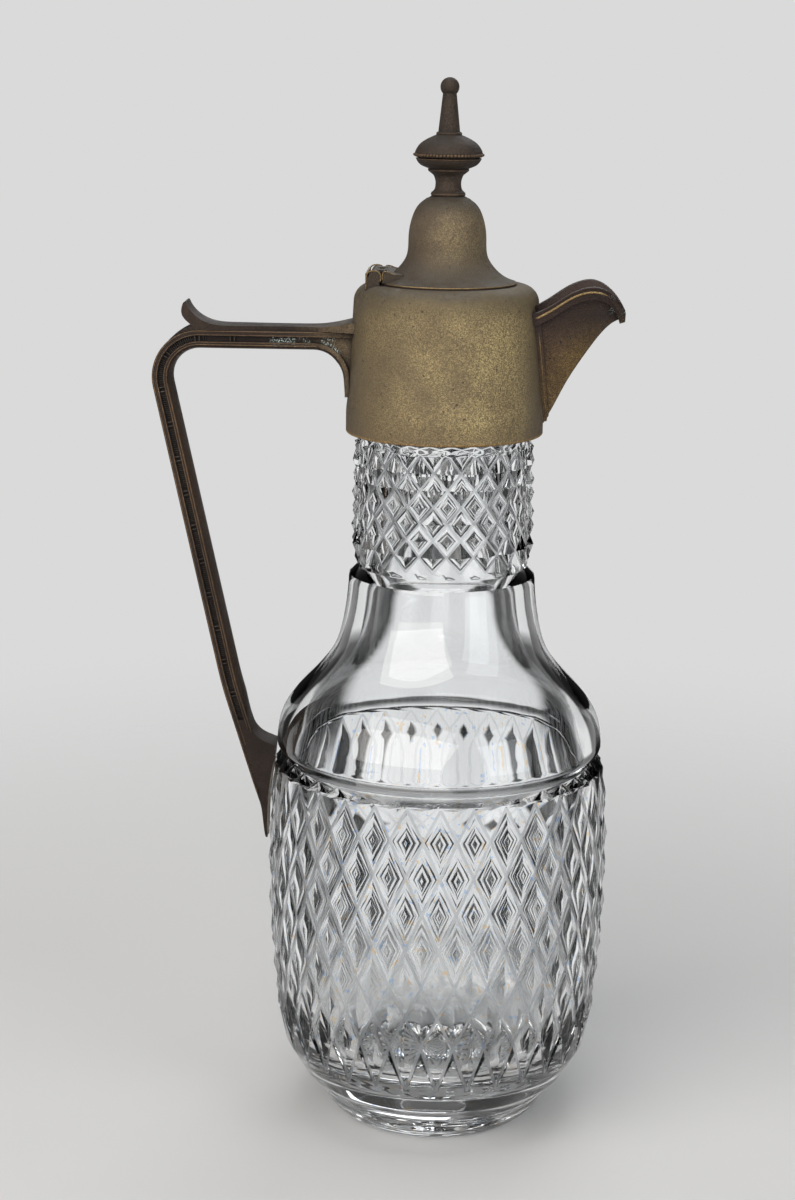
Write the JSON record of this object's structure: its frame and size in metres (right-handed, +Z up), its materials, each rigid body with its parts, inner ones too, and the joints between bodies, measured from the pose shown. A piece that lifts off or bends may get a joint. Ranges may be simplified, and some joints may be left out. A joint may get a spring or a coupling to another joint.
{
  "type": "claret jug",
  "caption": "Tall cut-glass claret jug with a brass collar, an open triangular spout, a high cast handle and a hinged domed lid with a turned finial, for decanting and pouring wine.",
  "frame": {"origin": "centre of the ring that the jug stands on, on the table", "axes": "+Z up along the axis of the jug; +X towards the spout; the handle and the hinge of the lid are on -X; Y = 0 is the mirror plane"},
  "size_m": [0.134, 0.1008, 0.305],
  "materials": {
    "crystal": "polished, diamond-cut",
    "plaster": "matt",
    "cement": "matt",
    "collar_brass": "aged, dull",
    "lid_brass": "aged, dull",
    "spout_brass": "darkened, worn at the edges",
    "handle_bronze": "dark brown patina, worn at the edges",
    "hinge_brass": "darkened",
    "finial_brass": "dark patina"
  },
  "bodies": {
    "jug": {"glass_body": "crystal", "plaster_bedding": "plaster", "collar_shell": "collar_brass", "collar_seat_ring": "collar_brass", "spout_body": "spout_brass", "spout_rim": "spout_brass", "spout_joint_strip": "spout_brass", "handle_limb": "handle_bronze", "handle_thumb_strap": "handle_bronze", "handle_pad": "cement", "hinge_lug": "hinge_brass", "hinge_pin": "hinge_brass"},
    "lid": {"lid_dome": "lid_brass", "lid_bezel": "lid_brass", "lid_hinge_leaf": "hinge_brass", "finial_washer": "finial_brass", "finial_nut": "finial_brass", "finial_stud": "finial_brass", "finial_spool": "finial_brass", "finial_dish": "finial_brass", "finial_cap": "finial_brass", "finial_spire": "finial_brass"}
  },
  "joints": [
    {"name": "lid_hinge", "type": "hinge", "parent": "jug", "child": "lid", "pos_m": [-0.0199, 0, 0.25025], "axis": [0, -1, 0], "range_deg": [0, 95]}
  ]
}
